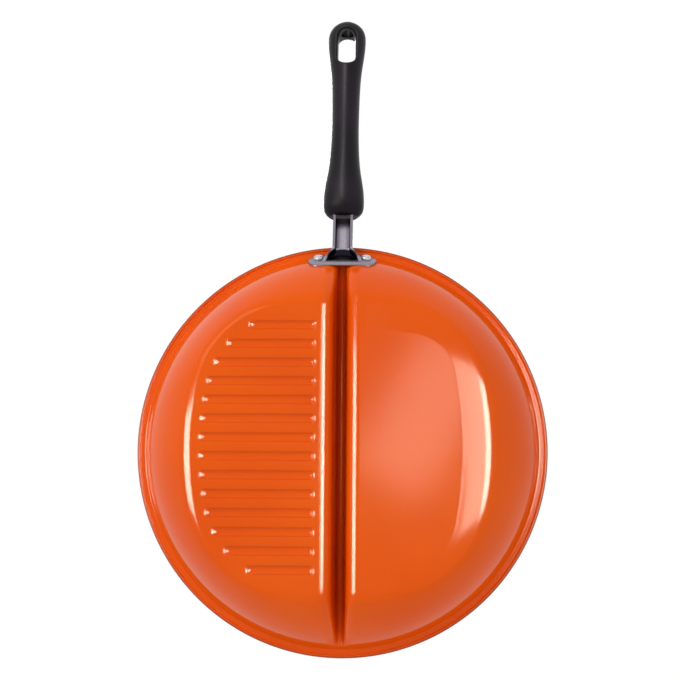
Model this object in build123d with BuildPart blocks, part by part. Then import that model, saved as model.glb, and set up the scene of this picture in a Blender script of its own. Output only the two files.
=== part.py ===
"""A divided frying pan, in millimetres.

A round pan pressed from one steel sheet, with a hollow divider across it, a ridged half for
grilling and a plain half for frying. A metal bracket is riveted under the rim, and one long
screw draws a moulded handle on to the bracket's tang.

The origin is the centre of the pan's base, on the surface it stands on. +Z is up, the handle
runs along -Y and rises away from the pan, and the ridged half is on -X.
"""

import os
from math import acos, atan2, cos, degrees, hypot, radians, sin, sqrt, tan

from build123d import *

# Sheet and rim
sheet = 1.2  # thickness of the pressed steel
rim_radius = 139.7  # an 11 inch pan, over the bead
bead_radius = 1.3  # rolled edge
lip_width = 6.2  # flat lip between the wall and the rim's outer edge
lip_height = 43.0  # underside of the lip above the base
lip_bend = 1.6  # radius in the corner under the lip

# Base outline: a rounded square of tangent arcs
base_half_x = 101.0
base_half_y = 100.0
side_arc = 220.0
end_arc = 250.0
corner_arc = 70.0
base_bend = 14.0  # outside radius between the floor and the wall
wall_turn = 33.0  # degrees that the wall's own curve turns from foot to lip
wall_sections = 5
outline_points = 72
bowl_overrun = 4.0  # how far the bowl's inside is carried above the lip, to cut it clear

# Divider, drawn as the groove on the underside
divider_height = 38.0  # top of the groove above the base
groove_top_radius = 2.4
groove_draft = 5.0  # degrees of each wall from upright
groove_shoulder = 8.5  # outside radius at the groove's mouth

# Grill ridges, pressed up from below
ridge_count = 14
ridge_pitch = 12.4
ridge_height = 1.8
ridge_half_width = 3.3
ridge_inset = 8.0  # from the base outline
ridge_divider_gap = 17.0  # from the pan's centre plane

# Bracket
flange_length = 46.5
flange_height = 16.0
flange_level = 33.5  # middle of the flange above the base
flange_thickness = 2.0
flange_gap = 0.05  # between the flange and the wall
handle_rise = 18.0  # degrees that the neck and handle rise from level
neck_length = 33.0  # along the neck, from the wall to the handle's face
neck_width = 13.6
neck_depth = 8.6
neck_wall = 1.7
neck_level = 34.0  # middle of the neck where it leaves the wall
root_width = 24.0
root_drop = 3.6  # how far the root reaches below the neck
root_length = 10.0  # length over which the neck spreads to the flange
root_curve = 0.25  # share of the spread that is reached halfway along
tang_length = 44.0
tang_tab = 3.0  # thickness of the tapped end of the tang
tang_gap = 0.15  # round the tang in the handle's socket

# Rivets
rivet_spacing = 32.2
rivet_radius = 2.4
rivet_gap = 0.05  # round the shank
rivet_head_radius = 3.6
rivet_head_height = 2.2
rivet_head_edge = 1.6
rivet_inner_radius = 5.6
rivet_inner_height = 1.6
rivet_inner_edge = 1.2

# Handle
handle_length = 160.0
# (fraction of the length, width, depth) of each oval section
handle_sections = (
    (0.0, 19.0, 11.5),
    (0.008, 22.4, 15.4),
    (0.023, 26.0, 18.8),
    (0.068, 28.2, 21.4),
    (0.135, 27.0, 21.2),
    (0.222, 22.9, 19.8),
    (0.315, 20.3, 18.8),
    (0.456, 19.1, 18.2),
    (0.587, 19.6, 18.2),
    (0.741, 22.1, 18.6),
    (0.901, 26.9, 18.8),
    (0.937, 25.9, 18.0),
    (0.962, 22.7, 16.4),
    (0.981, 17.4, 13.4),
    (0.994, 10.6, 9.0),
    (1.0, 5.0, 4.6),
)
hang_hole_width = 12.8
hang_hole_length = 30.0
hang_hole_wall = 8.5  # between the hole and the handle's tip
hang_hole_edge = 1.4
nose_length = 3.2  # how far the handle's tongue stands out inside the neck

# Handle screw
screw_radius = 2.5
screw_gap = 0.2  # round the shank in the handle
thread_gap = 0.02  # in the tapped end of the tang
screw_end = 4.0  # how far the screw runs past the tapped end
screw_head_radius = 4.2
screw_head_height = 3.0
head_gap = 0.3  # round the head and the washer
screw_recess = 5.0  # from the hanging hole to the washer's seat
slot_width = 1.2
slot_depth = 1.4
washer_thickness = 1.3
washer_opening = 0.9  # gap in the split washer

side_centre = (base_half_x - side_arc, 0.0)
end_centre = (0.0, base_half_y - end_arc)
wall_radius = rim_radius - lip_width  # outside of the wall where it meets the lip


def find_corner():
    """Centre of the corner arc, and the angles where it meets the side and end arcs."""
    to_side = side_arc - corner_arc
    to_end = end_arc - corner_arc
    step_x, step_y = end_centre[0] - side_centre[0], end_centre[1] - side_centre[1]
    apart = hypot(step_x, step_y)
    along = (to_side**2 - to_end**2 + apart**2) / (2 * apart)
    across = sqrt(to_side**2 - along**2)
    x = side_centre[0] + (step_x * along - step_y * across) / apart
    y = side_centre[1] + (step_y * along + step_x * across) / apart
    first = degrees(atan2(y - side_centre[1], x - side_centre[0]))
    second = degrees(atan2(y - end_centre[1], x - end_centre[0]))
    return (x, y), first, second


corner_centre, side_turn, end_turn = find_corner()


def outline_point(turn, blend, grow):
    """A point of the outline by the angle it faces: the base at blend 0, the rim's circle at 1."""
    flip_x = 1 if turn < 90 or turn > 270 else -1
    flip_y = 1 if turn < 180 else -1
    folded = 90 - abs(turn % 180 - 90)
    if folded < side_turn:
        centre, radius = side_centre, side_arc
    elif folded < end_turn:
        centre, radius = corner_centre, corner_arc
    else:
        centre, radius = end_centre, end_arc
    keep = 1 - blend
    reach = radius * keep + wall_radius * blend + grow
    x = flip_x * (centre[0] * keep + reach * cos(radians(folded)))
    y = flip_y * (centre[1] * keep + reach * sin(radians(folded)))
    return x, y


# The wall's own curve is an arc whose slope grows from foot to lip
wall_run = wall_radius - (base_half_x + base_half_y) / 2
foot_slope = degrees(atan2(lip_height, wall_run)) - wall_turn / 2
wall_arc = hypot(wall_run, lip_height) / (2 * sin(radians(wall_turn / 2)))


def wall_at(height):
    """Blend and slope in degrees of the wall's outside at a height."""
    slope = acos(cos(radians(foot_slope)) - height / wall_arc)
    return wall_arc * (sin(slope) - sin(radians(foot_slope))) / wall_run, degrees(slope)


def bowl(offset, above=0.0):
    """The bowl as a solid, its faces moved in by offset, carried on above the lip if asked."""
    sections = []
    for index in range(wall_sections):
        height = lip_height * index / (wall_sections - 1)
        blend, slope = wall_at(height)
        if index == 0:
            sections.append((offset, 0.0, -offset * tan(radians(slope / 2))))
        else:
            turn = radians(slope)
            sections.append((height + offset * cos(turn), blend, -offset * sin(turn)))
    level, blend, grow = sections[-1]
    if above:
        sections.append((level + above, blend, grow + above / tan(radians(slope))))
    with BuildPart() as solid:
        for level, blend, grow in sections:
            with BuildSketch(Plane.XY.offset(level)):
                with BuildLine():
                    turns = [360 * step / outline_points for step in range(outline_points)]
                    points = [outline_point(turn, blend, grow) for turn in turns]
                    Spline(*points, periodic=True)
                make_face()
        loft()
        fillet(solid.edges().group_by(Axis.Z)[0], base_bend - offset)
    return solid.part


def groove(offset):
    """The divider's underside as a long solid, its faces moved out by offset."""
    top = divider_height + offset
    cap = groove_top_radius + offset
    shoulder = groove_shoulder - offset
    lean = radians(groove_draft)
    cap_x, cap_z = cap * cos(lean), top - cap + cap * sin(lean)
    centre_z = offset + shoulder
    centre_x = cap_x + (cap_z - centre_z) * tan(lean) + shoulder / cos(lean)
    foot_x, foot_z = centre_x - shoulder * cos(lean), centre_z - shoulder * sin(lean)
    middle = radians(45 + groove_draft / 2)
    bend_x, bend_z = centre_x - shoulder * cos(middle), centre_z - shoulder * sin(middle)
    below = -2 * groove_shoulder
    with BuildPart() as solid:
        with BuildSketch(Plane.XZ):
            with BuildLine():
                for side in (-1, 1):
                    foot = (side * foot_x, foot_z)
                    mouth = (side * centre_x, offset)
                    Line((side * cap_x, cap_z), foot)
                    ThreePointArc(foot, (side * bend_x, bend_z), mouth)
                    Line(mouth, (side * centre_x, below))
                ThreePointArc((-cap_x, cap_z), (0, top), (cap_x, cap_z))
                Line((-centre_x, below), (centre_x, below))
            make_face()
        extrude(amount=rim_radius, both=True)
    return solid.part


def ridge_reach(y):
    """How far from the centre plane the grill ridge at y runs."""
    reach = corner_arc - ridge_inset
    past = abs(y) - corner_centre[1]
    if past > reach * sin(radians(side_turn)):
        return corner_centre[0] + sqrt(reach**2 - past**2)
    return side_centre[0] + sqrt((side_arc - ridge_inset) ** 2 - y**2)


def ridges(offset):
    """Every grill ridge as a lying round bar with ball ends, moved out by offset."""
    round_radius = (ridge_half_width**2 + ridge_height**2) / (2 * ridge_height)
    level = ridge_height - round_radius
    radius = round_radius + offset
    with BuildPart() as solid:
        for index in range(ridge_count):
            y = (index - (ridge_count - 1) / 2) * ridge_pitch
            left = ridge_half_width - ridge_reach(y)
            right = -ridge_divider_gap - ridge_half_width
            with Locations(((left + right) / 2, y, level)):
                Cylinder(radius, right - left, rotation=(0, 90, 0))
            with Locations((left, y, level), (right, y, level)):
                Sphere(radius)
    return solid.part


def normal_plane(x, level):
    """A plane on the outside of the wall at the handle's side, facing straight out of it."""
    blend, slope = wall_at(level)
    centre_y = -end_centre[1] * (1 - blend)
    reach = end_arc * (1 - blend) + wall_radius * blend
    y = centre_y - sqrt(reach**2 - x**2)
    side, out = x / reach, (y - centre_y) / reach
    tilt = radians(slope)
    facing = (side * sin(tilt), out * sin(tilt), -cos(tilt))
    return Plane(origin=(x, y, level), x_dir=(-out, side, 0), z_dir=facing)


def lip_corner(builder):
    """The edges under the lip where it meets the wall."""
    flat = [edge for edge in builder.edges() if edge.bounding_box().size.Z < 0.01]
    near = [edge for edge in flat if abs(edge.center().Z - lip_height) < 0.01]
    return [edge for edge in near if edge.bounding_box().size.X < 2 * rim_radius - lip_width]


def off_axis(edge, plane):
    """How far an edge's middle lies from a plane."""
    return abs(plane.to_local_coords(edge.center()).Z)


rivet_places = [normal_plane(side * rivet_spacing / 2, flange_level) for side in (-1, 1)]
rise = radians(handle_rise)
neck_start = normal_plane(0, neck_level).origin
handle_face = Plane(
    origin=neck_start + Vector(0, -cos(rise), sin(rise)) * neck_length,
    x_dir=(1, 0, 0),
    z_dir=(0, -cos(rise), sin(rise)),
)

# Solids shared by several pieces
outer_bowl = bowl(0)
inner_bowl = bowl(sheet, above=bowl_overrun)
flange_inside = bowl(-flange_gap)
flange_outside = bowl(-flange_gap - flange_thickness)

root_places = [
    (0.0, handle_face.offset(root_length - neck_length)),
    (root_curve, handle_face.offset(root_length / 2 - neck_length)),
    (1.0, handle_face.offset(-neck_length)),
]

with BuildPart() as food_space:
    add(inner_bowl)
    add(groove(sheet), mode=Mode.SUBTRACT)
    add(ridges(sheet), mode=Mode.SUBTRACT)

# The pan, pressed from one sheet
with BuildPart() as pan_body:
    add(outer_bowl)
    with BuildSketch(Plane.XY.offset(lip_height)):
        Circle(rim_radius - bead_radius)
    extrude(amount=sheet)
    with BuildSketch(Plane.XZ):
        with Locations((rim_radius - bead_radius, lip_height + sheet / 2)):
            Circle(bead_radius)
    revolve(axis=Axis.Z)
    fillet(lip_corner(pan_body), lip_bend)
    add(food_space.part, mode=Mode.SUBTRACT)
    add(groove(0), mode=Mode.SUBTRACT)
    add(ridges(0), mode=Mode.SUBTRACT)
    for place in rivet_places:
        with BuildSketch(place):
            Circle(rivet_radius + rivet_gap)
        extrude(amount=3 * sheet, both=True, mode=Mode.SUBTRACT)
pan_body.part.label = "pan_body"

# The bracket: a flange on the wall, a channel neck open below, and a tang with a tapped end
with BuildPart() as handle_bracket:
    inner_width = neck_width - 2 * neck_wall
    root_start = handle_face.offset(root_length - neck_length)
    with BuildPart(mode=Mode.PRIVATE) as channel:
        with BuildSketch(root_start):
            with Locations((0, -neck_wall)):
                Rectangle(inner_width, neck_depth)
        extrude(amount=neck_length - root_length + tang_length - tang_tab)
        for share, place in root_places:
            with BuildSketch(place):
                with Locations((0, -share * root_drop / 2 - neck_wall)):
                    width = inner_width + share * (root_width - neck_width)
                    Rectangle(width, neck_depth + share * root_drop)
        loft()
        extrude(channel.faces().sort_by(Axis.Y)[-1], amount=2 * lip_width)
    with BuildSketch(root_start):
        RectangleRounded(neck_width, neck_depth, neck_wall)
    extrude(amount=neck_length - root_length + tang_length)
    for share, place in root_places:
        with BuildSketch(place):
            with Locations((0, -share * root_drop / 2)):
                width = neck_width + share * (root_width - neck_width)
                RectangleRounded(width, neck_depth + share * root_drop, neck_wall)
    loft()
    extrude(handle_bracket.faces().sort_by(Axis.Y)[-1], amount=2 * lip_width)
    add(channel.part, mode=Mode.SUBTRACT)
    with BuildPart(mode=Mode.PRIVATE) as flange:
        with BuildSketch(Plane.XZ.offset(wall_radius - 2 * lip_width)):
            with Locations((0, flange_level)):
                SlotOverall(flange_length, flange_height)
        extrude(amount=4 * lip_width)
        add(flange_outside, mode=Mode.INTERSECT)
    add(flange.part)
    add(flange_inside, mode=Mode.SUBTRACT)
    with BuildSketch(handle_face.offset(tang_length)):
        Circle(screw_radius + thread_gap)
    extrude(amount=-2 * tang_tab, mode=Mode.SUBTRACT)
    for place in rivet_places:
        with BuildSketch(place):
            Circle(rivet_radius + rivet_gap)
        extrude(amount=3 * flange_thickness, mode=Mode.SUBTRACT)
handle_bracket.part.label = "handle_bracket"

# The rivets, each head shaped to the face it was driven against
with BuildPart() as pan_rivets:
    for place in rivet_places:
        with BuildPart(mode=Mode.PRIVATE) as head:
            with BuildSketch(place):
                Circle(rivet_head_radius)
            extrude(amount=flange_thickness + rivet_head_height)
            rim = head.edges().sort_by(lambda edge: place.to_local_coords(edge.center()).Z)[-1]
            fillet(rim, rivet_head_edge)
            add(flange_outside, mode=Mode.SUBTRACT)
        with BuildPart(mode=Mode.PRIVATE) as inner:
            with BuildSketch(place):
                Circle(rivet_inner_radius)
            extrude(amount=-sheet - rivet_inner_height)
            rim = inner.edges().sort_by(lambda edge: place.to_local_coords(edge.center()).Z)[0]
            fillet(rim, rivet_inner_edge)
            add(inner_bowl, mode=Mode.INTERSECT)
        with BuildSketch(place.offset(-sheet - rivet_inner_height / 2)):
            Circle(rivet_radius)
        extrude(amount=sheet + flange_thickness + (rivet_inner_height + rivet_head_height) / 2)
        add(head.part)
        add(inner.part)
pan_rivets.part.label = "pan_rivets"

# The moulded handle
hole_start = handle_length - hang_hole_wall - hang_hole_length
seat_level = hole_start - screw_recess
screw_foot = tang_length - tang_tab - screw_end
with BuildPart() as handle_grip:
    for fraction, width, depth in handle_sections:
        with BuildSketch(handle_face.offset(fraction * handle_length)):
            Ellipse(width / 2, depth / 2)
    loft()
    across = Plane(handle_face.origin, x_dir=(1, 0, 0), z_dir=handle_face.y_dir)
    with BuildSketch(across):
        with Locations((0, -hole_start - hang_hole_length / 2)):
            SlotOverall(hang_hole_length, hang_hole_width, rotation=90)
    extrude(amount=handle_length, both=True, mode=Mode.SUBTRACT)
    rims = [edge for edge in handle_grip.edges(Select.LAST) if off_axis(edge, across) > 1]
    fillet(rims, hang_hole_edge)
    with BuildSketch(handle_face.offset(-nose_length)):
        Rectangle(neck_width + 2 * tang_gap, neck_depth + 2 * tang_gap)
    extrude(amount=nose_length + tang_length, mode=Mode.SUBTRACT)
    with BuildSketch(handle_face.offset(-nose_length)):
        with Locations((0, -neck_wall / 2 - tang_gap)):
            Rectangle(neck_width - 2 * neck_wall - 2 * tang_gap, neck_depth - neck_wall)
    extrude(amount=nose_length + tang_length - tang_tab - tang_gap)
    with BuildSketch(handle_face.offset(seat_level)):
        Circle(screw_radius + screw_gap)
    extrude(amount=screw_foot - screw_gap - seat_level, mode=Mode.SUBTRACT)
    with BuildSketch(handle_face.offset(seat_level)):
        Circle(screw_head_radius + head_gap)
    extrude(amount=handle_length, mode=Mode.SUBTRACT)
handle_grip.part.label = "handle_grip"

# The split washer and the screw
with BuildPart() as spring_washer:
    with BuildSketch(handle_face.offset(seat_level)):
        Circle(screw_head_radius)
        Circle(screw_radius + screw_gap, mode=Mode.SUBTRACT)
        with Locations((0, screw_head_radius)):
            Rectangle(washer_opening, 2 * screw_head_radius, mode=Mode.SUBTRACT)
    extrude(amount=washer_thickness)
spring_washer.part.label = "spring_washer"

with BuildPart() as handle_screw:
    head_level = seat_level + washer_thickness
    with BuildSketch(handle_face.offset(screw_foot)):
        Circle(screw_radius)
    extrude(amount=head_level - screw_foot)
    with BuildSketch(handle_face.offset(head_level)):
        Circle(screw_head_radius)
    extrude(amount=screw_head_height)
    with BuildSketch(handle_face.offset(head_level + screw_head_height)):
        Rectangle(slot_width, 2 * screw_head_radius)
    extrude(amount=-slot_depth, mode=Mode.SUBTRACT)
handle_screw.part.label = "handle_screw"

os.makedirs("parts", exist_ok=True)
export_step(pan_body.part, "parts/pan_body.step")
export_step(handle_bracket.part, "parts/handle_bracket.step")
export_step(pan_rivets.part, "parts/pan_rivets.step")
export_step(handle_grip.part, "parts/handle_grip.step")
export_step(spring_washer.part, "parts/spring_washer.step")
export_step(handle_screw.part, "parts/handle_screw.step")
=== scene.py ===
import math

import bmesh
import bpy
import numpy as np
from mathutils import Matrix, Vector


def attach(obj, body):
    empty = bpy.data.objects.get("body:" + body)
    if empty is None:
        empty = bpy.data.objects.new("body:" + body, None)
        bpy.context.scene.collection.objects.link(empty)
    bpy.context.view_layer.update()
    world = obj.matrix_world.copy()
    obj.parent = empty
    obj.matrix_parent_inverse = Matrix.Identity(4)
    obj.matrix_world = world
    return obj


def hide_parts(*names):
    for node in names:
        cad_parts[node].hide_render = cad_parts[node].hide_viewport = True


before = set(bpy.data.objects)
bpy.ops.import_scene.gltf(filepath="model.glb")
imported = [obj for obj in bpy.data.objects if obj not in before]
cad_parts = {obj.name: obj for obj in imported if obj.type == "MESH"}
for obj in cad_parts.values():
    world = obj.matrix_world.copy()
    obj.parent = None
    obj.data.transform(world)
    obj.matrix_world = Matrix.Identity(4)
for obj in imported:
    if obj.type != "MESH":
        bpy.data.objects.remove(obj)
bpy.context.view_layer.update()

print("frame loaded")


# a socket that takes plain maths, so that shaders read as expressions
class Wire:
    def __init__(self, tree, socket):
        self.tree = tree
        self.socket = socket

    def __add__(self, other): return maths(self.tree, "ADD", self, other)
    def __radd__(self, other): return maths(self.tree, "ADD", other, self)
    def __sub__(self, other): return maths(self.tree, "SUBTRACT", self, other)
    def __rsub__(self, other): return maths(self.tree, "SUBTRACT", other, self)
    def __mul__(self, other): return maths(self.tree, "MULTIPLY", self, other)
    def __rmul__(self, other): return maths(self.tree, "MULTIPLY", other, self)
    def __truediv__(self, other): return maths(self.tree, "DIVIDE", self, other)
    def __rtruediv__(self, other): return maths(self.tree, "DIVIDE", other, self)
    def __gt__(self, other): return maths(self.tree, "GREATER_THAN", self, other)
    def __lt__(self, other): return maths(self.tree, "LESS_THAN", self, other)


def addNode(tree, kind, settings=None, sockets=None, out=0):
    node = tree.nodes.new(kind)
    for name, value in (settings or {}).items():
        setattr(node, name, value)
    for name, value in (sockets or {}).items():
        socket = node.inputs[name]
        if isinstance(value, Wire):
            tree.links.new(value.socket, socket)
        else:
            socket.default_value = (*value, 1.0) if socket.type == "RGBA" else value
    return Wire(tree, node.outputs[out]) if node.outputs else None


def maths(tree, operation, *values):
    return addNode(tree, "ShaderNodeMath", {"operation": operation}, dict(enumerate(values)))


def growNodes(owner, outputKind, surface):
    owner.use_nodes = True
    owner.node_tree.nodes.clear()
    addNode(owner.node_tree, outputKind, sockets={"Surface": surface(owner.node_tree)})
    return owner


def newMaterial(name, surface):
    return growNodes(bpy.data.materials.new(name), "ShaderNodeOutputMaterial", surface)


def srgb(*channels):
    # a screen colour as linear light
    shares = [channel / 255 for channel in channels]
    return tuple(s / 12.92 if s <= 0.04045 else ((s + 0.055) / 1.055) ** 2.4 for s in shares)


def blendColour(tree, factor, first, second):
    # the mix node's colour sockets are its seventh and eighth inputs
    return addNode(tree, "ShaderNodeMix", {"data_type": "RGBA"}, {0: factor, 6: first, 7: second}, out=2)


def noise(tree, scale, detail, roughness, stretch=None):
    place = addNode(tree, "ShaderNodeTexCoord", out="Object")
    if stretch:
        place = addNode(tree, "ShaderNodeMapping", sockets={"Vector": place, "Scale": stretch})
    sockets = {"Vector": place, "Scale": scale, "Detail": detail, "Roughness": roughness}
    return addNode(tree, "ShaderNodeTexNoise", sockets=sockets)


def step(tree, value, low, high):
    sockets = {"Value": value, "From Min": low, "From Max": high}
    return addNode(tree, "ShaderNodeMapRange", {"interpolation_type": "SMOOTHSTEP"}, sockets)


def band(tree, value, rise, fall):
    return step(tree, value, *rise) * (1 - step(tree, value, *fall))


def bump(tree, height, distance):
    return addNode(tree, "ShaderNodeBump", sockets={"Height": height, "Distance": distance})


def objectPlace(tree):
    place = addNode(tree, "ShaderNodeTexCoord", out="Object")
    parts = addNode(tree, "ShaderNodeSeparateXYZ", sockets={"Vector": place})
    return [Wire(tree, output) for output in parts.socket.node.outputs]


def addObject(name, data):
    thing = bpy.data.objects.new(name, data)
    bpy.context.scene.collection.objects.link(thing)
    return thing


# the pan is one pressed sheet, its underside worked out as a height above the base
pan = {
    "sheet": 0.0012,
    "rimRadius": 0.1397,
    "beadRadius": 0.0013,
    "beadRings": 26,
    "beadEnamelled": 18,  # how many of them are orange
    "beadGap": 0.0002,
    "lipWidth": 0.0062,
    "lipHeight": 0.0430,
    "lipBlend": 0.0032,
    "lipMiddle": 0.1362,
    "bendEnd": 0.1354,
    "bendRings": 14,
    "baseHalfX": 0.101,
    "baseHalfY": 0.100,
    "sideArc": 0.220,  # the base outline's radii are those of its sides, ends and corners
    "endArc": 0.250,
    "cornerArc": 0.070,
    "baseBend": 0.014,
    "wallTurn": 33.0,
    "dividerHeight": 0.038,
    "dividerTop": 0.0024,
    "dividerDraft": 5.0,
    "dividerShoulder": 0.0085,
    "ridgeCount": 14,
    "ridgePitch": 0.0124,
    "ridgeHeight": 0.0016,
    "ridgeHalfWidth": 0.0035,
    "ridgeCrown": 0.0011,
    "ridgeInset": 0.0080,  # from the base outline to the ridges' outer ends
    "ridgeGap": 0.0150,  # from the pan's middle to their inner ends
    "ridgeRamp": 0.0032,
    "rampLift": 1.25,
    "rampBend": 0.5,
    "edgeRoll": 0.0019,
    "edgeRollRun": 0.0250,
    "edgeRollStart": 0.02,
    "edgeRollBlend": 0.03,
    "gridEdge": 0.1322,
    "rows": 420,
    # where each run of columns starts, and how many it has
    "columns": [
        (0.0, 5), (0.0011, 8), (0.0030, 14), (0.0068, 14), (0.0145, 12), (0.0240, 60), (0.0900, 60),
    ],
}


def findCorner():
    # the corner arc's centre, and the turns where it meets the side's arc and the end's
    side = (pan["baseHalfX"] - pan["sideArc"], 0.0)
    end = (0.0, pan["baseHalfY"] - pan["endArc"])
    toSide = pan["sideArc"] - pan["cornerArc"]
    toEnd = pan["endArc"] - pan["cornerArc"]
    stepX, stepY = end[0] - side[0], end[1] - side[1]
    apart = math.hypot(stepX, stepY)
    along = (toSide**2 - toEnd**2 + apart**2) / (2 * apart)
    across = math.sqrt(toSide**2 - along**2)
    corner = (
        side[0] + (stepX * along - stepY * across) / apart,
        side[1] + (stepY * along + stepX * across) / apart,
    )
    first = math.atan2(corner[1] - side[1], corner[0] - side[0])
    second = math.atan2(corner[1] - end[1], corner[0] - end[0])
    return side, corner, end, first, second


sideCentre, cornerCentre, endCentre, sideTurn, endTurn = findCorner()
wallRadius = pan["rimRadius"] - pan["lipWidth"]
wallRun = wallRadius - (pan["baseHalfX"] + pan["baseHalfY"]) / 2
halfTurn = math.radians(pan["wallTurn"]) / 2
footSlope = math.atan2(pan["lipHeight"], wallRun) - halfTurn
wallArc = math.hypot(wallRun, pan["lipHeight"]) / (2 * math.sin(halfTurn))


def wallOut(x, y):
    # how far a point lies outside the base outline, as the share of the wall it has crossed
    ax, ay = np.abs(x), np.abs(y)
    result = np.full(x.shape, -1.0)  # well inside the base it stays at this
    chosen = np.zeros(x.shape, bool)
    slack, deepest = 1e-6, 1.6
    arcs = (
        (sideCentre, pan["sideArc"], -math.pi, sideTurn),
        (cornerCentre, pan["cornerArc"], sideTurn, endTurn),
        (endCentre, pan["endArc"], endTurn, math.pi),
    )
    for (cx, cy), radius, low, high in arcs:
        # k is 1 on the base outline and 0 on the wall's outer circle
        a = cx * cx + cy * cy - (wallRadius - radius) ** 2
        b = wallRadius * (wallRadius - radius) - (ax * cx + ay * cy)
        c = ax * ax + ay * ay - wallRadius**2
        root = np.sqrt(np.maximum(b * b - a * c, 0.0))
        for k in ((-b + root) / a, (-b - root) / a):
            turn = np.arctan2(ay - k * cy, ax - k * cx)
            reach = (1 - k) * wallRadius + k * radius
            good = (turn >= low - slack) & (turn <= high + slack) & (reach > 0) & (k < deepest) & ~chosen
            result[good] = 1 - k[good]
            chosen |= good
    return result


def wallProfile(out):
    # height of the wall's outside by its distance out from the base outline
    bend, steepest = pan["baseBend"], 0.999
    reach = wallArc - bend
    footOut, footDown = wallArc * math.sin(footSlope), wallArc * math.cos(footSlope)
    start = math.sqrt(reach**2 - (footDown - bend) ** 2) - footOut
    end = start + bend * (start + footOut) / reach
    height = np.zeros(out.shape)
    curve = (out > start) & (out <= end)
    height[curve] = bend - np.sqrt(bend**2 - (out[curve] - start) ** 2)
    steep = out > end
    sine = np.minimum((out[steep] + footOut) / wallArc, steepest)
    height[steep] = footDown - wallArc * np.sqrt(1 - sine**2)
    return height


def softMin(a, b, radius):
    # the lower of two heights, rounded where they cross
    gap = np.clip(1 - np.abs(a - b) / radius, 0, 1)
    return np.minimum(a, b) - radius * gap**3 / 6


def smooth(share):
    share = np.clip(share, 0, 1)
    return share * share * (3 - 2 * share)


def pressed(distance, depth, cap, shoulder, lean):
    # a rounded groove's height by the distance from its middle: cap, straight side, shoulder
    slope = math.radians(90 - lean)
    limit = (cap + shoulder) * (1 - math.cos(slope))
    angle = np.arccos(np.clip(1 - np.maximum(depth, 0) / (cap + shoulder), math.cos(slope), 1))
    straight = np.maximum(depth - limit, 0)
    capEdge = cap * np.sin(angle)
    sideEdge = capEdge + straight / math.tan(slope)
    footEdge = sideEdge + shoulder * np.sin(angle)
    capHeight = depth - cap + np.sqrt(np.maximum(cap**2 - distance**2, 0))
    capFoot = depth - cap * (1 - np.cos(angle))
    lineHeight = capFoot - (distance - capEdge) * math.tan(slope)
    footHeight = shoulder - np.sqrt(np.maximum(shoulder**2 - (footEdge - distance) ** 2, 0))
    height = np.where(distance <= sideEdge, lineHeight, footHeight)
    height = np.where(distance <= capEdge, capHeight, height)
    return np.where((distance < footEdge) & (depth > 0), height, 0.0)


def ridgeReach(y):
    reach = pan["cornerArc"] - pan["ridgeInset"]
    past = abs(y) - cornerCentre[1]
    if past > reach * math.sin(sideTurn):
        return cornerCentre[0] + math.sqrt(reach**2 - past**2)
    return sideCentre[0] + math.sqrt((pan["sideArc"] - pan["ridgeInset"]) ** 2 - y**2)


ridgeMiddle = (pan["ridgeCount"] - 1) / 2
ridgeLevels = (np.arange(pan["ridgeCount"]) - ridgeMiddle) * pan["ridgePitch"]
ridgeReaches = np.array([ridgeReach(level) for level in ridgeLevels])


def rampUp(share):
    # slow off the base, and a tighter bend at the crown
    return softMin(pan["rampLift"] * np.maximum(share, 0) ** 2, 1.0, pan["rampBend"])


def panHeight(x, y):
    out = wallOut(x, y) * wallRun
    # the plain half's base lifts a little before it turns up into the wall
    near = np.clip(1 + out / pan["edgeRollRun"], 0, 1) ** 2 * (1 - smooth(out / wallRun))
    plain = smooth((x - pan["edgeRollStart"]) / pan["edgeRollBlend"])
    bowl = softMin(wallProfile(out) + pan["edgeRoll"] * near * plain, pan["lipHeight"], pan["lipBlend"])
    groove = pan["dividerTop"], pan["dividerShoulder"], pan["dividerDraft"]
    divider = pressed(np.abs(x), pan["dividerHeight"] - bowl, *groove)
    # each ridge has a flat crown, rounded flanks and a longer ramp at either end
    nearest = np.clip(np.round(y / pan["ridgePitch"] + ridgeMiddle), 0, pan["ridgeCount"] - 1).astype(int)
    half, ramp = pan["ridgeHalfWidth"], pan["ridgeRamp"]
    ends = rampUp((x + ridgeReaches[nearest]) / ramp) * rampUp((-pan["ridgeGap"] - x) / ramp)
    flank = smooth((half - np.abs(y - ridgeLevels[nearest])) / (half - pan["ridgeCrown"]))
    return bowl + divider + pan["ridgeHeight"] * ends * flank


def columnPlaces():
    # columns stand closest on the divider, and draw together again towards the grid's two ends
    edge, runs = pan["gridEdge"], pan["columns"]
    places = []
    for (start, count), (stop, _) in zip(runs, runs[1:]):
        places += [start + (stop - start) * i / count for i in range(count)]
    start, count = runs[-1]
    first = math.asin(start / edge)
    places += [edge * math.sin(first + (math.pi / 2 - first) * i / count) for i in range(count)]
    return np.array([-p for p in reversed(places[1:])] + places)


def pressedSheet(x, y):
    # the sheet's outside and inside at some places
    tiny = 1e-5
    slopeX = (panHeight(x + tiny, y) - panHeight(x - tiny, y)) / (2 * tiny)
    slopeY = (panHeight(x, y + tiny) - panHeight(x, y - tiny)) / (2 * tiny)
    normal = np.stack([-slopeX, -slopeY, np.ones(x.shape)], 1)
    normal /= np.linalg.norm(normal, axis=1)[:, None]
    under = np.stack([x, y, panHeight(x, y)], 1)
    return under, under + normal * pan["sheet"]


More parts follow.
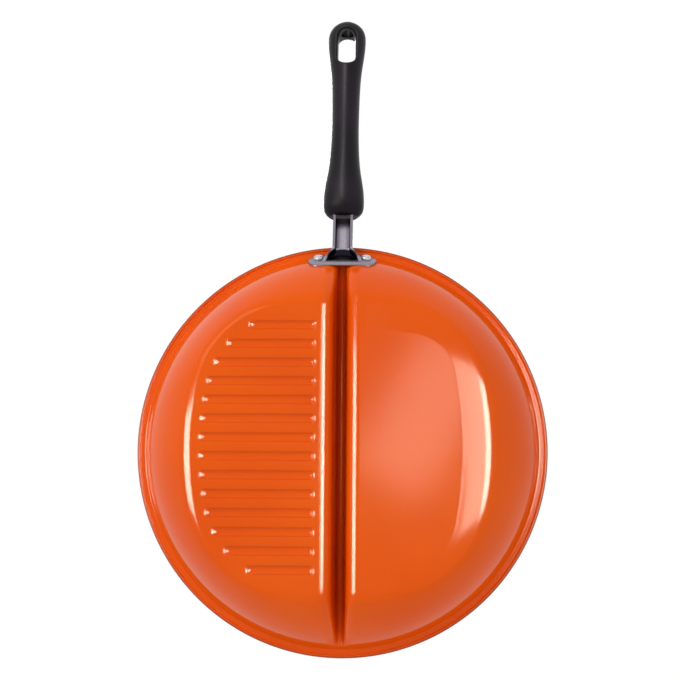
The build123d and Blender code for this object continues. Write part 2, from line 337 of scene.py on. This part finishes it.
def rimRings(angle):
    # rings that carry the sheet on over the bend, the flat lip and the rolled bead, and back inside
    across, along = np.cos(angle), np.sin(angle)
    thick, radius = pan["sheet"], pan["beadRadius"]
    centre, level = pan["rimRadius"] - radius, pan["lipHeight"] + thick / 2
    bend = np.linspace(pan["gridEdge"], pan["bendEnd"], pan["bendRings"] + 1)[1:]
    reaches = [*bend, pan["lipMiddle"], centre - radius - pan["beadGap"]]
    sheets = [pressedSheet(reach * across, reach * along) for reach in reaches]
    lean = math.asin(thick / 2 / radius)
    bead = []
    for turn in np.linspace(lean, 2 * math.pi - lean, pan["beadRings"]):
        reach = centre - radius * math.cos(turn)
        height = np.full(len(angle), level - radius * math.sin(turn))
        bead.append(np.stack([reach * across, reach * along, height], 1))
    outer, inner = [sheet[0] for sheet in sheets], [sheet[1] for sheet in reversed(sheets)]
    return outer + bead + inner, len(outer) + pan["beadEnamelled"]


def fillMesh(name, points, blocks, kinds):
    # blocks of faces, each with its own number of corners and its own material
    sizes = np.concatenate([np.full(len(block), block.shape[1]) for block in blocks])
    slots = np.concatenate([np.full(len(block), kind) for block, kind in zip(blocks, kinds)])
    corners = np.concatenate([block.ravel() for block in blocks])
    mesh = bpy.data.meshes.new(name)
    mesh.vertices.add(len(points))
    mesh.vertices.foreach_set("co", points.ravel())
    mesh.loops.add(len(corners))
    mesh.loops.foreach_set("vertex_index", corners.astype(np.int32))
    mesh.polygons.add(len(sizes))
    mesh.polygons.foreach_set("loop_start", (np.cumsum(sizes) - sizes).astype(np.int32))
    mesh.polygons.foreach_set("loop_total", sizes.astype(np.int32))
    mesh.polygons.foreach_set("material_index", slots.astype(np.int32))
    mesh.polygons.foreach_set("use_smooth", np.ones(len(sizes), bool))
    mesh.update()
    mesh.validate()
    return mesh


def makePan():
    edge, rows = pan["gridEdge"], pan["rows"]
    columns = columnPlaces()
    stride = rows + 1
    turns = np.linspace(-math.pi / 2, math.pi / 2, stride)
    x = np.repeat(columns, stride)
    y = np.sqrt(np.maximum(edge**2 - x**2, 0)) * np.tile(np.sin(turns), len(columns))
    # the two ends of the grid come to a point each
    x = np.append(x, [-edge, edge])
    y = np.append(y, [0.0, 0.0])
    under, over = pressedSheet(x, y)
    count = len(x)
    left, right, last = count - 2, count - 1, (len(columns) - 1) * stride
    starts = [c * stride + np.arange(rows) for c in range(len(columns) - 1)]
    quads = np.concatenate([np.stack([a, a + 1, a + stride + 1, a + stride], 1) for a in starts])
    r = np.arange(rows)
    leftEnds = np.stack([np.full(rows, left), r + 1, r], 1)
    rightEnds = np.stack([np.full(rows, right), last + r, last + r + 1], 1)
    ends = np.concatenate([leftEnds, rightEnds])
    # the grid's edge in order round the pan, which every ring of the rim follows
    top = [c * stride + rows for c in range(len(columns))]
    bottom = [c * stride for c in range(len(columns))]
    ring = np.array([left] + top + [right] + bottom[::-1])
    rings, enamelled = rimRings(np.arctan2(y[ring], x[ring]))
    between = [2 * count + i * len(ring) + np.arange(len(ring)) for i in range(len(rings))]
    loops = [ring] + between + [ring + count]
    blocks = [quads, ends, quads[:, ::-1] + count, ends[:, ::-1] + count]
    blocks += [np.stack([b, np.roll(b, -1), np.roll(a, -1), a], 1) for a, b in zip(loops, loops[1:])]
    # 0 is the enamel outside and 1 the coating inside
    kinds = [0, 0, 1, 1] + [0 if i < enamelled else 1 for i in range(len(loops) - 1)]
    return fillMesh("panBody", np.concatenate([under, over] + rings), blocks, kinds)


panBody = addObject("panBody", makePan())
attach(panBody, "root")
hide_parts("pan_body")
print("pan pressed", len(panBody.data.polygons), "faces")


# the bracket: a plate on the wall, and a channel neck that spreads into it
bracket = {
    "face": (0.0, -0.16082, 0.04420),  # where the neck enters the handle
    "rise": 18.0,
    "neckHalf": 0.0068,
    "neckDepth": 0.0086,
    "neckWall": 0.0017,
    "neckStops": (-0.016, -0.010, -0.004, 0.002),
    "neckOuter": 8.0,  # how boxy the channel is outside and inside
    "neckInner": 9.0,
    "archSteps": 44,
    "tang": 0.044,
    "tangTab": 0.003,
    "tangGap": 0.00001,
    "rootStart": 0.0240,
    "rootRun": 0.0085,
    "rootRings": 16,
    "rootHalf": 0.0134,
    "rootWall": 0.0022,
    "rootDrop": 0.0012,
    "rootThick": 0.0008,
    "rootSpread": 1.8,
    "rootOuter": 2.4,
    "rootInner": 2.0,
    "rootSink": 0.0019,
    "plateSpan": 0.01525,
    "plateRound": 0.0080,
    "plateLevel": 0.0335,
    "plateTurns": 24,
    "plateSteps": 10,
    # each layer's inset from the plate's outline, and its distance off the wall
    "plateLayers": [
        (0.0077, 0.00006), (0.0, 0.00006), (0.0, 0.0012), (0.0002, 0.0017),
        (0.0007, 0.0020), (0.0030, 0.0020), (0.0055, 0.0020), (0.0077, 0.0020),
    ],
    "sharpAngle": 38.0,
}


def wallPlace(x, level, off):
    # a place on the pan's wall at the handle's side, moved straight out of it
    slope = math.acos(math.cos(footSlope) - level / wallArc)
    blend = wallArc * (math.sin(slope) - math.sin(footSlope)) / wallRun
    centre = -endCentre[1] * (1 - blend)
    reach = pan["endArc"] * (1 - blend) + wallRadius * blend
    drop = math.sqrt(reach**2 - x**2)
    tilt = math.sin(slope) * off
    return (x + x / reach * tilt, centre - drop - drop / reach * tilt, level - math.cos(slope) * off)


def neckPlace(x, rise, along):
    turn = math.radians(bracket["rise"])
    cosine, sine = math.cos(turn), math.sin(turn)
    _, faceY, faceZ = bracket["face"]
    return (x, faceY - cosine * along + sine * rise, faceZ + sine * along + cosine * rise)


def archPath(half, foot, top, squareness):
    # an upside-down U from one foot to the other, boxy for a high squareness
    path = []
    for i in range(bracket["archSteps"] + 1):
        turn = math.pi * i / bracket["archSteps"]
        across, up = math.cos(turn), math.sin(turn)
        x = math.copysign(half * abs(across) ** (2 / squareness), across)
        path.append((x, foot + (top - foot) * up ** (2 / squareness)))
    return path


def neckSection(share):
    # the channel's outline, over the outside and back along the inside: 0 is the neck, 1 the root
    b = bracket
    spread = share ** b["rootSpread"]
    foot = -b["neckDepth"] / 2 - b["rootDrop"] * share**2
    half = b["neckHalf"] + (b["rootHalf"] - b["neckHalf"]) * spread
    wall = b["neckWall"] + (b["rootWall"] - b["neckWall"]) * spread
    top = b["neckDepth"] / 2
    outerShape = b["neckOuter"] + (b["rootOuter"] - b["neckOuter"]) * share
    innerShape = b["neckInner"] + (b["rootInner"] - b["neckInner"]) * share
    outer = archPath(half, foot, top, outerShape)
    inner = archPath(half - wall, foot, top - wall - b["rootThick"] * share, innerShape)
    return outer + inner[::-1]


def rootRings():
    # the neck spreads, and its last rings bend on to the plate
    b = bracket
    end = -b["rootStart"] - b["rootRun"]
    feet = [neckPlace(x, rise, end) for x, rise in neckSection(1.0)]
    onPlate = np.array([wallPlace(x, level, b["rootSink"]) for x, _, level in feet])
    rings = []
    for i in range(b["rootRings"] + 1):
        share = 1 - i / b["rootRings"]
        pull = share**3
        along = -b["rootStart"] - b["rootRun"] * share
        ring = [neckPlace(x, rise, along) for x, rise in neckSection(share)]
        rings.append((np.array(ring) * (1 - pull) + onPlate * pull).tolist())
    return rings


def plateRings():
    # rings that follow the plate's rounded outline
    b = bracket
    rings = []
    for inset, off in b["plateLayers"]:
        reach, outline = b["plateRound"] - inset, []
        for side in (1, -1):
            for i in range(b["plateTurns"] + 1):
                turn = math.radians(-90 + 180 * i / b["plateTurns"])
                x = side * (b["plateSpan"] + reach * math.cos(turn))
                outline.append((x, side * reach * math.sin(turn)))
            for i in range(1, 2 * b["plateSteps"]):
                outline.append((side * b["plateSpan"] * (1 - i / b["plateSteps"]), side * reach))
        rings.append([wallPlace(x, b["plateLevel"] + rise, off) for x, rise in outline])
    return rings


def makeBracket():
    b = bracket
    points, faces = [], []

    def addShell(rings, closedStart=True):
        first, size = len(points), len(rings[0])
        last = first + (len(rings) - 1) * size
        for ring in rings:
            points.extend(ring)
        for start in range(first, last, size):
            for i in range(size):
                a, c = start + i, start + (i + 1) % size
                faces.append((a, c, c + size, a + size))
        if closedStart:
            faces.append(tuple(reversed(range(first, first + size))))
        faces.append(tuple(range(last, last + size)))

    section = neckSection(0.0)
    neck = [[neckPlace(x, rise, along) for x, rise in section] for along in (*b["neckStops"], b["tang"])]
    addShell(rootRings() + neck, closedStart=False)
    # the tapped tab across the tang's end
    tab, tabEnds = section[len(section) // 2:], (b["tang"] - b["tangTab"], b["tang"] - b["tangGap"])
    addShell([[neckPlace(x, rise, along) for x, rise in tab] for along in tabEnds])
    addShell(plateRings())
    mesh = bpy.data.meshes.new("bracketShell")
    mesh.from_pydata(points, [], faces)
    mesh.polygons.foreach_set("use_smooth", np.ones(len(faces), bool))
    work = bmesh.new()
    work.from_mesh(mesh)
    bmesh.ops.recalc_face_normals(work, faces=work.faces)
    work.to_mesh(mesh)
    work.free()
    mesh.set_sharp_from_angle(angle=math.radians(b["sharpAngle"]))
    return mesh


bracketShell = addObject("bracketShell", makeBracket())
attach(bracketShell, "root")
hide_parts("handle_bracket")
print("bracket made", len(bracketShell.data.polygons), "faces")


# in every finish a pattern is its scale, detail, roughness and stretch,
# and a span, a rise or a fall is where a mask starts to change and where it is done
enamelLook = {
    "base": srgb(234, 89, 3),
    "deep": srgb(228, 82, 2),
    "edge": srgb(166, 58, 8),
    # flank is painted shade: the dark lines along the ridges' flanks
    "flank": srgb(188, 62, 3),
    "cloud": (9.0, 2.0, 0.5),
    "cloudSpan": (0.35, 0.7),
    "edgeSpan": (0.1374, 0.1396),
    "flankRise": (0.0021, 0.0027),
    "flankFall": (0.0032, 0.0037),
    "flankLift": (0.0001, 0.0004),
    "flankReach": 0.1,
    "flankEnd": -0.0165,
    "flankShare": 0.45,
    "scuff": (60.0, 4.0, 0.6, (1.0, 0.35, 1.0)),
    "scuffSpan": (0.55, 0.8),
    "rough": 0.12,
    "scuffRough": 0.05,
    "edgeRough": 0.4,
    "peel": (420.0, 1.5, 0.4),
    "peelDepth": 0.000006,
    "ior": 1.28,
    "glossTint": (1.0, 0.86, 0.6),
}


def enamelSurface(tree):
    look = enamelLook
    x, y, z = objectPlace(tree)
    cloud = step(tree, noise(tree, *look["cloud"]), *look["cloudSpan"])
    colour = blendColour(tree, cloud, look["base"], look["deep"])
    # painted shade: dark lines along both flanks of each ridge, where the enamel reflects darker
    # surroundings
    radial = maths(tree, "SQRT", x * x + y * y)
    pitches = y / pan["ridgePitch"] + 100  # the whole number only lifts them above 0
    aside = maths(tree, "ABSOLUTE", maths(tree, "FRACT", pitches) - 0.5) * pan["ridgePitch"]
    flank = band(tree, aside, look["flankRise"], look["flankFall"]) * step(tree, z, *look["flankLift"])
    flank = flank * (radial < look["flankReach"]) * (x < look["flankEnd"])
    colour = blendColour(tree, flank * look["flankShare"], colour, look["flank"])
    # the bead's outer edge is darker and rougher
    darkerBeadEdge = step(tree, radial, *look["edgeSpan"])
    colour = blendColour(tree, darkerBeadEdge, colour, look["edge"])
    scuff = step(tree, noise(tree, *look["scuff"]), *look["scuffSpan"])
    return addNode(tree, "ShaderNodeBsdfPrincipled", sockets={
        "Base Color": colour,
        "Roughness": look["rough"] + scuff * look["scuffRough"] + darkerBeadEdge * look["edgeRough"],
        "IOR": look["ior"],
        "Specular Tint": look["glossTint"],
        "Normal": bump(tree, noise(tree, *look["peel"]), look["peelDepth"]),
    })


coatingLook = {
    "base": srgb(44, 43, 45),
    "speck": srgb(92, 90, 90),
    "fleck": (2200.0, 2.0, 0.7),
    "fleckSpan": (0.56, 0.68),
    "wear": (35.0, 5.0, 0.6),
    "wearSpan": (0.4, 0.75),
    "rough": 0.42,
    "wearRough": 0.14,
    "grain": (1500.0, 2.0, 0.5),
    "grainDepth": 0.00001,
}


def coatingSurface(tree):
    look = coatingLook
    fleck = step(tree, noise(tree, *look["fleck"]), *look["fleckSpan"])
    wear = step(tree, noise(tree, *look["wear"]), *look["wearSpan"])
    return addNode(tree, "ShaderNodeBsdfPrincipled", sockets={
        "Base Color": blendColour(tree, fleck, look["base"], look["speck"]),
        "Roughness": look["rough"] + wear * look["wearRough"],
        "Normal": bump(tree, noise(tree, *look["grain"]), look["grainDepth"]),
    })


steelLook = {
    "bright": srgb(178, 172, 184),
    "dull": srgb(152, 146, 158),
    # plate is painted shade, duller and darker than the neck
    "plate": srgb(140, 135, 145),
    # foot, wall and the dark oval behind the plate are painted shade
    "foot": srgb(128, 122, 133),
    "wall": srgb(84, 78, 91),
    "hollow": srgb(34, 30, 38),
    "brush": (100.0, 4.0, 0.6, (24.0, 1.2, 24.0)),
    "brushSpan": (0.3, 0.7),
    "plateSpan": (0.2, 0.6),
    "plateEnd": -0.1375,
    "neckEnd": -0.1385,
    "channelRise": (0.0008, 0.0049),
    "channelFall": (0.00495, 0.00535),
    "footInner": 0.0051,
    "footOuter": 0.0070,
    "hollowHalf": 0.0106,
    "hollowDeep": 0.0064,
    "hollowCentre": -0.1315,
    "hollowSpan": (0.80, 1.12),
    "hollowFloor": (0.0282, 0.0290),
    "rough": 0.26,
    "brushRough": 0.14,
    "brushDepth": 0.00002,
}


def steelSurface(tree):
    look = steelLook
    x, y, z = objectPlace(tree)
    brushed = noise(tree, *look["brush"])
    colour = blendColour(tree, step(tree, brushed, *look["brushSpan"]), look["bright"], look["dull"])
    # painted shade: the plate is painted duller and darker than the neck
    plate = (y > look["plateEnd"]) * step(tree, brushed, *look["plateSpan"])
    colour = blendColour(tree, plate, colour, look["plate"])
    # painted shade: the neck's inner walls, its feet and the recess behind the plate are painted darker
    aside, neck = maths(tree, "ABSOLUTE", x), y < look["neckEnd"]
    channel = band(tree, aside, look["channelRise"], look["channelFall"]) * neck
    colour = blendColour(tree, channel, colour, look["wall"])
    foot = (aside > look["footInner"]) * (aside < look["footOuter"]) * neck
    colour = blendColour(tree, foot, colour, look["foot"])
    # painted shade: a dark oval where the recess behind the plate lies in shade
    across, deep = x / look["hollowHalf"], (y - look["hollowCentre"]) / look["hollowDeep"]
    outside = step(tree, across * across + deep * deep, *look["hollowSpan"])
    hollow = (1 - outside) * step(tree, z, *look["hollowFloor"])
    return addNode(tree, "ShaderNodeBsdfPrincipled", sockets={
        "Base Color": blendColour(tree, hollow, colour, look["hollow"]),
        "Metallic": 1.0,
        "Roughness": look["rough"] + brushed * look["brushRough"],
        "Normal": bump(tree, brushed, look["brushDepth"]),
    })


rivetLook = {
    "bright": srgb(206, 203, 210),
    "dull": srgb(160, 156, 166),
    "grain": (700.0, 3.0, 0.6),
    "grainSpan": (0.4, 0.7),
    "rough": 0.16,
    "grainRough": 0.1,
    "grainDepth": 0.000012,
}


def rivetSurface(tree):
    look = rivetLook
    grain = noise(tree, *look["grain"])
    mottled = step(tree, grain, *look["grainSpan"])
    return addNode(tree, "ShaderNodeBsdfPrincipled", sockets={
        "Base Color": blendColour(tree, mottled, look["bright"], look["dull"]),
        "Metallic": 1.0,
        "Roughness": look["rough"] + grain * look["grainRough"],
        "Normal": bump(tree, grain, look["grainDepth"]),
    })


gripLook = {
    "dark": srgb(14, 9, 16),
    "grey": srgb(28, 20, 31),
    "haze": (26.0, 4.0, 0.55),
    "hazeSpan": (0.35, 0.75),
    "rub": (70.0, 4.0, 0.65, (3.0, 0.4, 1.0)),
    "rubSpan": (0.4, 0.8),
    "rough": 0.34,
    "rubRough": 0.10,
    "ior": 1.25,
    "grain": (900.0, 3.0, 0.6),
    "grainDepth": 0.000012,
}


def gripSurface(tree):
    look = gripLook
    haze = step(tree, noise(tree, *look["haze"]), *look["hazeSpan"])
    rub = step(tree, noise(tree, *look["rub"]), *look["rubSpan"])
    return addNode(tree, "ShaderNodeBsdfPrincipled", sockets={
        "Base Color": blendColour(tree, haze, look["dark"], look["grey"]),
        "Roughness": look["rough"] + rub * look["rubRough"],
        "IOR": look["ior"],
        "Normal": bump(tree, noise(tree, *look["grain"]), look["grainDepth"]),
    })


panBody.data.materials.append(newMaterial("orangeEnamel", enamelSurface))
panBody.data.materials.append(newMaterial("nonStickCoating", coatingSurface))
steel = newMaterial("satinSteel", steelSurface)
bracketShell.data.materials.append(steel)
dressed = {
    "pan_rivets": newMaterial("rivetMetal", rivetSurface),
    "spring_washer": steel,
    "handle_screw": steel,
    "handle_grip": newMaterial("mouldedBlack", gripSurface),
}
for nodeName, material in dressed.items():
    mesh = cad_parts[nodeName].data
    mesh.materials.clear()
    mesh.materials.append(material)
print("finishes made")

# the floor shows only from above
stand = {"half": 3.0, "level": -0.0005, "colour": srgb(212, 211, 209)}


def floorSurface(tree):
    paint = addNode(tree, "ShaderNodeBsdfDiffuse", sockets={"Color": stand["colour"]})
    clear = addNode(tree, "ShaderNodeBsdfTransparent")
    behind = addNode(tree, "ShaderNodeNewGeometry", out="Backfacing")
    return addNode(tree, "ShaderNodeMixShader", sockets={0: behind, 1: paint, 2: clear})


def makeFloor():
    half, level = stand["half"], stand["level"]
    around = ((-half, -half), (half, -half), (half, half), (-half, half))
    mesh = bpy.data.meshes.new("floor")
    mesh.from_pydata([(x, y, level) for x, y in around], [], [(0, 1, 2, 3)])
    mesh.materials.append(newMaterial("paleFloor", floorSurface))
    return mesh


floor = addObject("floor", makeFloor())
# it throws no light and no shadow on the pan
floor.visible_diffuse = False
floor.visible_glossy = False
floor.visible_transmission = False
floor.visible_shadow = False

studio = {
    "skyLevel": 0.78,
    "aim": {"enamel": (0, 0, 0.04), "grip": (0, -0.24, 0.04), "all": (0, 0, 0.04)},
    "tint": {"cool": (1.0, 1.04, 1.2), "warm": (1.0, 0.94, 0.82), "white": (1, 1, 1)},
    # each lamp's name, what it shines on, its tint, place, size and power
    "lamps": [
        ("leftBox", "enamel", "cool", (-1.02, -0.02, -1.00), (0.40, 0.80), 50.0),
        ("rightBox", "enamel", "cool", (0.70, -0.07, -0.97), (0.40, 0.52), 40.0),
        ("rightSoft", "enamel", "cool", (0.34, -0.07, -1.06), (0.36, 0.28), 7.0),
        ("nearBox", "enamel", "cool", (0.066, -0.11, -1.19), (0.11, 0.22), 0.86),
        ("gripBox", "grip", "white", (-0.18, -1.10, -0.62), (0.16, 0.50), 4.0),
        ("belowFill", "all", "warm", (-0.9, -0.9, -1.2), (0.9, 0.9), 9.0),
        ("aboveKey", "all", "white", (-0.35, -0.45, 1.7), (0.6, 0.6), 16.0),
        ("aboveFill", "all", "white", (0.3, 0.35, 1.8), (0.9, 0.9), 8.0),
    ],
}


def skySurface(tree):
    # white to the camera and in reflections, and a little dimmer as a light
    rays = addNode(tree, "ShaderNodeLightPath").socket.node.outputs
    kinds = ("Is Camera Ray", "Is Glossy Ray", "Is Transmission Ray")
    camera, glossy, clear = [Wire(tree, rays[kind]) for kind in kinds]
    seen = maths(tree, "MINIMUM", camera + glossy + clear, 1.0)
    strength = maths(tree, "MAXIMUM", seen, studio["skyLevel"])
    return addNode(tree, "ShaderNodeBackground", sockets={"Color": (1, 1, 1), "Strength": strength})


def areaLight(name, place, target, size, power, colour):
    light = bpy.data.lights.new(name, "AREA")
    light.shape = "RECTANGLE"
    light.size, light.size_y = size
    light.energy = power
    light.color = colour
    lamp = addObject(name, light)
    lamp.location = place
    lamp.rotation_euler = (Vector(target) - Vector(place)).to_track_quat("-Z", "Y").to_euler()
    return lamp


bpy.context.scene.world = growNodes(bpy.data.worlds.new("studio"), "ShaderNodeOutputWorld", skySurface)
# the boxes below shine on one finish's gloss each, the other lamps on everything
receivers = {}
for name, piece in (("enamel", panBody), ("grip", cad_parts["handle_grip"])):
    receivers[name] = bpy.data.collections.new(name + "Gloss")
    receivers[name].objects.link(piece)
for name, shinesOn, tint, place, size, power in studio["lamps"]:
    lamp = areaLight(name, place, studio["aim"][shinesOn], size, power, studio["tint"][tint])
    if shinesOn in receivers:
        lamp.visible_diffuse = False
        lamp.light_linking.receiver_collection = receivers[shinesOn]

# the camera hangs below the pan and looks up at its base
view = {
    "place": (0.05037, 0.05824, -1.14163),
    "target": (-0.00198, -0.07579, 0.0430),
    "roll": 0.0076,
    "focalPixels": 1741.4,
    "imageSize": 679,
    "sensor": 36.0,
    "clipStart": 0.01,
    "clipEnd": 30.0,
}
cameraData = bpy.data.cameras.new("photoCamera")
cameraData.sensor_width = view["sensor"]
cameraData.lens = view["sensor"] * view["focalPixels"] / view["imageSize"]
cameraData.clip_start = view["clipStart"]
cameraData.clip_end = view["clipEnd"]
camera = addObject("photoCamera", cameraData)
forward = (Vector(view["target"]) - Vector(view["place"])).normalized()
handleWay = Vector((0, -1, 0))  # the handle points up in the picture
upright = (handleWay - forward * handleWay.dot(forward)).normalized()
sideways = forward.cross(upright)
cosine, sine = math.cos(view["roll"]), math.sin(view["roll"])
right, upward = sideways * cosine + upright * sine, upright * cosine - sideways * sine
axes = (right, upward, -forward, Vector(view["place"]))
camera.matrix_world = Matrix([[axis[k] for axis in axes] for k in range(3)] + [[0, 0, 0, 1]])
bpy.context.scene.camera = camera
bpy.context.scene.view_settings.view_transform = "Standard"
print("camera and light set")
